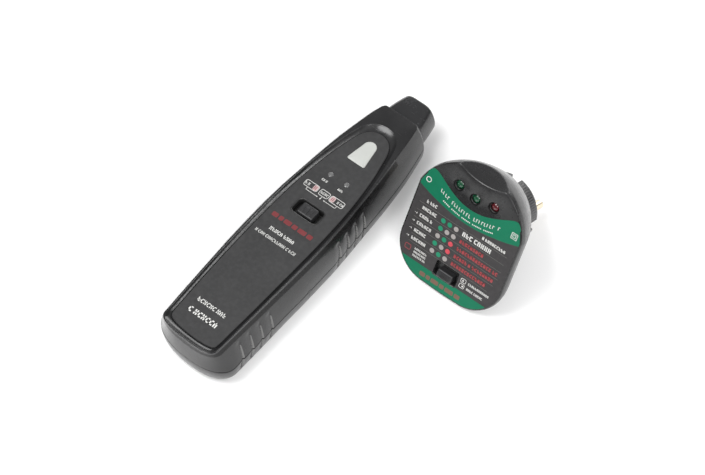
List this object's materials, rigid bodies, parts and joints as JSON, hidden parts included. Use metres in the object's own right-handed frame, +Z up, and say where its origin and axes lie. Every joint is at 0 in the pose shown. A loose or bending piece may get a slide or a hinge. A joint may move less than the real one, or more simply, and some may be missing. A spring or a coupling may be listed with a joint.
{
  "type": "circuit breaker finder",
  "caption": "Circuit breaker finder kit: a long handheld signal receiver with slide switch and battery cover, and a plug-in mains transmitter with lamps, a switch and a round two-pin plug",
  "frame": {"origin": "Centre of the receiver's flat back, on the table both units rest on (z = 0)", "axes": "+X across the receiver, towards the transmitter; +Y along the receiver from its battery end to its sensing nose; +Z up, out of the receiver's label"},
  "size_m": [0.1295, 0.19, 0.0668],
  "materials": {
    "black_case": "satin black moulded ABS",
    "black_nose": "satin black moulded nose",
    "label_grey": "printed dark grey polyester film",
    "window_pale": "pale translucent window",
    "lamp_clear": "clear light pipe",
    "knob_black": "black moulded slider",
    "inner_plastic": "plain inner moulding",
    "switch_steel": "pressed switch can",
    "board_green": "solder mask",
    "led_red": "diffused red led",
    "buzzer_black": "black buzzer",
    "chip_black": "moulded package",
    "ferrite": "sintered ferrite",
    "copper": "enamelled copper wire",
    "brass_plate": "sensing plate",
    "battery_case": "plain battery jacket",
    "terminal_steel": "nickel plated terminals",
    "clip_rubber": "soft battery clip",
    "wire_red": "red insulated wire",
    "wire_black": "black insulated wire",
    "wire_blue": "blue insulated wire",
    "foam": "foam pad",
    "screw_steel": "zinc plated screws",
    "pin_nickel": "nickel plated brass",
    "clip_brass": "sprung earth contact",
    "lamp_green": "green lamp lens",
    "lamp_red": "red lamp lens",
    "capacitor_grey": "film capacitor",
    "fuse_glass": "glass cartridge fuse"
  },
  "bodies": {
    "receiver": {"receiver_top_shell": "black_case", "receiver_bottom_shell": "black_case", "battery_tray": "inner_plastic", "nose_cap": "black_nose", "receiver_label": "label_grey", "signal_window": "window_pale", "find_lamp": "lamp_clear", "ncv_lamp": "lamp_clear", "mode_switch_case": "switch_steel", "receiver_board": "board_green", "signal_leds": "led_red", "buzzer": "buzzer_black", "receiver_chip": "chip_black", "coil_core": "ferrite", "coil_winding": "copper", "coil_holder": "inner_plastic", "ncv_antenna": "brass_plate", "battery": "battery_case", "battery_terminals": "terminal_steel", "battery_clip": "clip_rubber", "battery_lead_red": "wire_red", "battery_lead_black": "wire_black", "receiver_case_screws": "screw_steel", "board_screws": "screw_steel", "tray_screws": "screw_steel"},
    "mode_slider": {"mode_slider": "knob_black", "mode_switch_lever": "inner_plastic"},
    "battery_cover": {"battery_cover": "black_case", "battery_pad": "foam"},
    "transmitter": {"transmitter_front_shell": "black_case", "transmitter_back_shell": "black_case", "transmitter_label": "label_grey", "plug_pin_left": "pin_nickel", "plug_pin_right": "pin_nickel", "earth_clip_upper": "clip_brass", "earth_clip_lower": "clip_brass", "lamp_green_left": "lamp_green", "lamp_green_middle": "lamp_green", "lamp_red_right": "lamp_red", "function_switch_case": "switch_steel", "transmitter_board": "board_green", "dropper_capacitor": "capacitor_grey", "signal_transformer": "copper", "fuse": "fuse_glass", "transmitter_chip": "chip_black", "live_wire": "wire_red", "neutral_wire": "wire_blue", "transmitter_case_screws": "screw_steel"},
    "function_slider": {"function_slider": "knob_black"}
  },
  "joints": [
    {"name": "mode_slide", "type": "slide", "parent": "receiver", "child": "mode_slider", "axis": [1, 0, 0], "range_m": [-0.0022, 0.0022]},
    {"name": "cover_slide", "type": "slide", "parent": "receiver", "child": "battery_cover", "axis": [0, -1, 0], "range_m": [0, 0.09]},
    {"name": "transmitter_lift_away", "type": "slide", "parent": "receiver", "child": "transmitter", "axis": [1, 0, 0], "range_m": [0, 0.1]},
    {"name": "function_slide", "type": "slide", "parent": "transmitter", "child": "function_slider", "axis": [0, 0.4638, 0.8859], "range_m": [0, 0.0034]}
  ]
}
